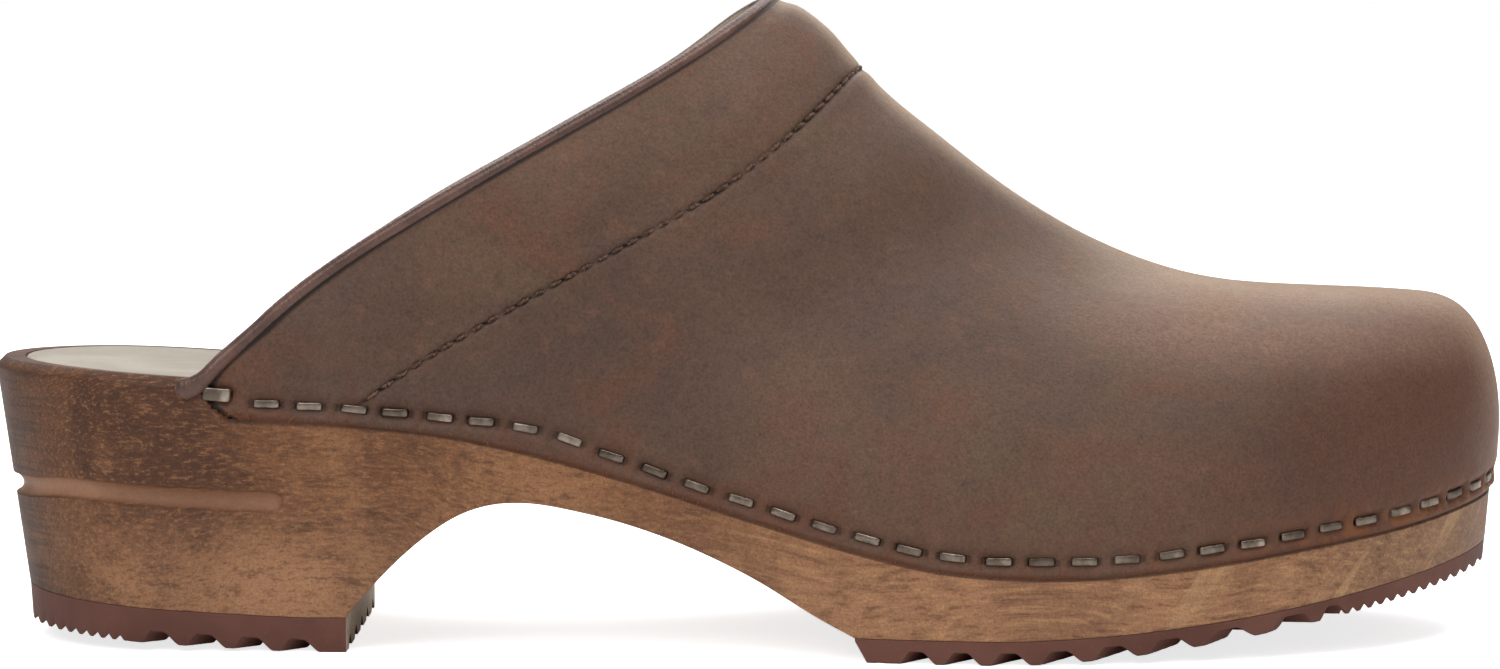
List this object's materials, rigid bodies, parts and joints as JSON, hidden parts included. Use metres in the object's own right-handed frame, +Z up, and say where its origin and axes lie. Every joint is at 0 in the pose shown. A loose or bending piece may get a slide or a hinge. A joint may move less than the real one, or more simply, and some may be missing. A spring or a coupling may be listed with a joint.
{
  "type": "wooden clog",
  "caption": "Backless clog: closed leather upper stapled round a carved wooden sole with a heel, rubber treads under heel and ball, inset insole, piped collar and a stitched seam.",
  "frame": {"origin": "centre of the bounding box in plan, on the floor the clog stands on", "axes": "+X along the sole towards the toe, +Y towards the inner side of the foot, +Z up"},
  "size_m": [0.2808, 0.1022, 0.1186],
  "materials": {
    "sole_wood": "oiled, stained dark",
    "tread_rubber": "matte",
    "insole_foam": "matte foam",
    "insole_suede": "matte suede",
    "upper_leather": "oiled, soft sheen",
    "stiffener": "matte",
    "padding_foam": "matte foam",
    "lining_leather": "matte",
    "piping_leather": "smooth, half gloss",
    "cord": "matte",
    "thread": "waxed",
    "staple_steel": "plain wire"
  },
  "bodies": {
    "root": {"wooden_sole": "sole_wood", "heel_outsole": "tread_rubber", "forefoot_outsole": "tread_rubber", "insole_foam": "insole_foam", "insole_cover": "insole_suede", "vamp": "upper_leather", "toe_puff": "stiffener", "collar_padding": "padding_foam", "collar_lining": "lining_leather", "piping": "piping_leather", "piping_cord": "cord", "seam_thread": "thread", "rim_staples": "staple_steel"}
  },
  "joints": []
}
